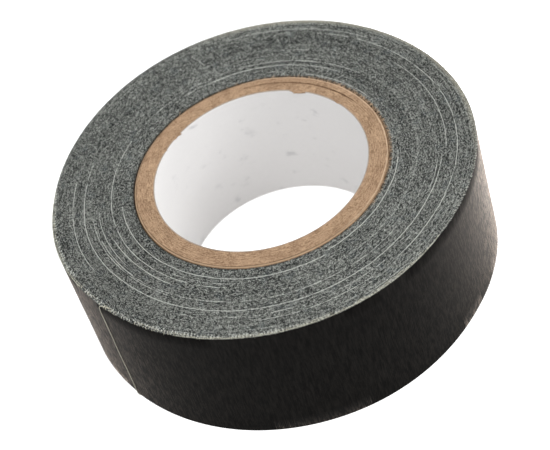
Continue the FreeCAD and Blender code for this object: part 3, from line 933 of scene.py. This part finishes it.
def smooth_path(knots, steps):
    """A Catmull-Rom curve through the knots."""
    ends = np.concatenate([[2 * knots[0] - knots[1]], knots, [2 * knots[-1] - knots[-2]]])
    points = []
    for p0, p1, p2, p3 in zip(ends, ends[1:], ends[2:], ends[3:]):
        for s in np.linspace(0, 1, steps, endpoint=False):
            a = 2 * p1 + (p2 - p0) * s + (2 * p0 - 5 * p1 + 4 * p2 - p3) * s**2
            points.append((a + (3 * p1 - p0 - 3 * p2 + p3) * s**3) / 2)
    return np.array(points + [knots[-1]])


def build_end_thread():
    shell = Shell().add(*tube_along(thread_path(), 0.15 * MM, 10, twist=700))
    make_piece("end_thread_cotton", shell, [CREAM], "tab_6", ["end_thread"])


TUFT_DEPTH = [0.35 * MM, 0.95 * MM, 1.55 * MM]  # how far in from the rim each layer of tufts lies
TUFT_GAPS = [0.12, 0.25, 0.4]  # share of each layer's tufts that are missing


def rim_strength(azimuth):
    """How strongly the rim's cotton shows: most by the torn end, and least on the far side."""
    left = 0.75 * float(near(azimuth, 185, 26))
    front = float(near(azimuth, 245, 42))
    return min(1.0, 0.12 + left + front)


def add_tufts(shell, low, high, layer, slot, seed):
    """A layer of cut weft ends over both slit edges at the rim, one for each pair of threads."""
    random = np.random.default_rng(seed)
    pair = 2 * WEFT_PHI
    first, last = math.ceil(low / pair + 0.3), math.floor(high / pair - 0.3)
    for side, level in ((1, TAPE_TOP), (-1, TAPE_LOW)):
        for count in range(first, last + 1):
            phi = (count + random.uniform(-0.2, 0.2)) * pair
            if random.random() < TUFT_GAPS[layer]:
                continue
            add_tuft(shell, random, phi, side, level, layer, slot)


def add_tuft(shell, random, phi, side, level, layer, slot):
    """One weft end: a short bunch of fibres that slants across the rim."""
    azimuth = (END_AZ + phi) % 360
    strength = rim_strength(azimuth)
    span = random.uniform(0.4, 0.75) * MM * (0.45 + 0.55 * strength)
    depth = TUFT_DEPTH[layer] * (strength if layer else 1) + random.uniform(-0.12, 0.12) * MM
    edge = ROLL_R - THICK * phi / TURN - depth
    slant = math.degrees(random.normal(0.4, 0.12) * MM / ROLL_R)
    thick = random.uniform(0.12, 0.19) * MM * (0.35 + 0.65 * strength)
    rise = random.uniform(0.08, 0.2) * MM
    drop = random.uniform(0.0, 0.12) * MM if layer == 0 else 0.0
    stations = [(-0.5, -0.06 * MM), (-0.2, rise), (0.25, rise), (0.55, -drop)]
    path = [place(edge + span * t, azimuth + slant * t, level + side * up) for t, up in stations]
    shell.add(*tube_along(path, thick, 4, taper=layer == 0), slot)


def rim_yarn(shell, low, high, depth, slot, seed):
    """A warp yarn that wanders along the rim on both slit edges."""
    steps = int((high - low) * 2)
    phi = np.linspace(low, high, steps)
    for side, level in ((1, TAPE_TOP), (-1, TAPE_LOW)):
        wander = drift(phi / 2.2 + 9, seed + side) * 0.08 * MM
        rise = (0.08 + 0.06 * drift(phi / 3.1 + 9, seed + 5 + side)) * MM
        path = place(ROLL_R - THICK * phi / TURN - depth + wander, END_AZ + phi, level + side * rise)
        shell.add(*tube_along(path, 0.075 * MM, 5), slot)


def build_rim():
    """The fuzzy cotton bead on the outer turn and the turns just under it."""
    low, high = TAB_PHI + TAB_STEP / 2, TURN - 2.0
    shell = Shell()
    add_tufts(shell, low, high, 0, 0, 610)
    add_tufts(shell, -6.0, high - 10, 1, 1, 620)
    add_tufts(shell, -6.0, high - 10, 2, 1, 625)
    for start, end, depth in ((-40, 95, 1.15), (low, 102, 0.25), (312, 352, 0.2), (20, 92, 0.7)):
        rim_yarn(shell, start, end, depth * MM, 0, 630 + int(start))
    make_piece("rim_tufts", shell, [CREAM, PALE], "roll")


# ---- Stage ----

CAMERA_ELEVATION = math.radians(45.6)
CAMERA_LEAN = math.radians(18.93)  # the camera is rolled, so that the roll's axis leans left
# The upper face's centre in the camera's own axes, in roll radii.
CAMERA_OFFSET = Vector((-0.0672, 0.2607, -8.416))
LENS, SENSOR = 119.5, 36.0
FOCUS = Vector((0, -0.3 * ROLL_R, TAPE_TOP))  # on the near half of the upper face
APERTURE = 16  # leaves only the roll's far side a little soft


def build_camera():
    lean = Matrix.Rotation(CAMERA_LEAN, 3, "Z")
    right = lean @ Vector((1, 0, 0))
    axis = lean @ Vector((0, math.cos(CAMERA_ELEVATION), math.sin(CAMERA_ELEVATION)))
    far = axis.cross(right)
    turn = Matrix((right, far, axis))
    data = bpy.data.cameras.new("camera")
    data.lens, data.sensor_width = LENS, SENSOR
    data.clip_start, data.clip_end = 0.01, 20
    focus = bpy.data.objects.new("camera_focus", None)
    bpy.context.scene.collection.objects.link(focus)
    focus.location = FOCUS
    data.dof.use_dof = True
    data.dof.focus_object = focus
    data.dof.aperture_fstop = APERTURE
    camera = bpy.data.objects.new("camera", data)
    bpy.context.scene.collection.objects.link(camera)
    centre = Vector((0, 0, TAPE_TOP))
    camera.matrix_world = Matrix.Translation(centre - turn @ (CAMERA_OFFSET * ROLL_R)) @ turn.to_4x4()
    bpy.context.scene.camera = camera


def area_light(name, azimuth, elevation, distance, size, power):
    """A softbox that faces the roll's middle. Azimuth 0 is on +X."""
    data = bpy.data.lights.new(name, "AREA")
    data.shape, data.size, data.energy = "DISK", size, power
    light = bpy.data.objects.new(name, data)
    bpy.context.scene.collection.objects.link(light)
    turn, lift = math.radians(azimuth), math.radians(elevation)
    away = Vector((math.cos(turn) * math.cos(lift), math.sin(turn) * math.cos(lift), math.sin(lift)))
    light.location = away * distance + Vector((0, 0, CORE_TOP / 2))
    light.rotation_euler = (-away).to_track_quat("-Z", "Y").to_euler()


def studio_world():
    """Soft white surroundings, brightest overhead and on +X, dimmer on -Y, plain white to the camera."""
    world = bpy.data.worlds.new("studio")
    world.use_nodes = True
    tree = world.node_tree
    direction = node(tree, "ShaderNodeTexCoord").outputs["Generated"]
    parts = node(tree, "ShaderNodeSeparateXYZ", Vector=direction).outputs
    side = step_up(tree, parts[0], -0.9, 0.9)
    above = step_up(tree, parts[2], -0.2, 1.0)
    front = step_up(tree, parts[1], 0.2, -0.9)
    strength = calc(tree, "MULTIPLY_ADD", side, 0.45, 0.5)
    strength = calc(tree, "MULTIPLY_ADD", above, 0.12, strength)
    strength = calc(tree, "SUBTRACT", strength, times(tree, front, 0.15))
    seen = node(tree, "ShaderNodeLightPath").outputs["Is Camera Ray"]
    strength = calc(tree, "MAXIMUM", strength, times(tree, seen, 1.1))
    tree.links.new(strength, tree.nodes["Background"].inputs["Strength"])
    tree.nodes["Background"].inputs["Color"].default_value = (1, 1, 1, 1)
    return world


def floor_material():
    """A pale light table, brighter behind and on +X, dimmer in the bore, plain white to the camera."""
    material, tree, surface = new_material("floor_paper", Roughness=0.9)
    seen = node(tree, "ShaderNodeLightPath").outputs["Is Camera Ray"]
    along = node(tree, "ShaderNodeSeparateXYZ", Vector=object_place(tree)).outputs
    glow = calc(tree, "MULTIPLY_ADD", step_up(tree, along[0], 0.03, 0.09), 2.9, 0.15)
    glow = calc(tree, "MULTIPLY_ADD", step_up(tree, along[0], -0.05, -0.09), 0.2, glow)
    glow = times(tree, glow, step_up(tree, along[1], -0.10, 0.03))
    outside = step_up(tree, polar(tree)[1], BORE_R, BORE_R + 6 * MM)
    glow = times(tree, glow, calc(tree, "MULTIPLY_ADD", outside, 0.4, 0.6))
    colour = blend_colours(tree, seen, (1.0, 0.91, 0.83), (1.0, 1.0, 1.0))
    strength = calc(tree, "MAXIMUM", glow, times(tree, seen, 1.0))
    paper = blend_colours(tree, outside, (0.45, 0.45, 0.45), (0.6, 0.6, 0.6))
    set_surface(tree, surface, Base_Color=paper, Emission_Color=colour, Emission_Strength=strength)
    return material


def build_stage():
    scene = bpy.context.scene
    scene.view_settings.view_transform = "Standard"
    scene.world = studio_world()
    mesh = bpy.data.meshes.new("floor")
    half = 6.0
    corners = [(-half, -half, 0), (half, -half, 0), (half, half, 0), (-half, half, 0)]
    mesh.from_pydata(corners, [], [(0, 1, 2, 3)])
    floor = bpy.data.objects.new("floor", mesh)
    scene.collection.objects.link(floor)
    floor.location.z = CORE_LOW - 0.2 * MM
    mesh.materials.append(floor_material())
    area_light("key", azimuth=60, elevation=55, distance=1.4, size=0.9, power=1.5)
    area_light("fill", azimuth=225, elevation=52, distance=1.4, size=0.7, power=4.0)
    area_light("side", azimuth=-15, elevation=36, distance=1.2, size=0.8, power=4.6)
    build_camera()


build_core()
build_fray()
build_windings()
build_outer_turn()
build_tab()
build_stray_yarns()
build_end_thread()
build_rim()
build_stage()
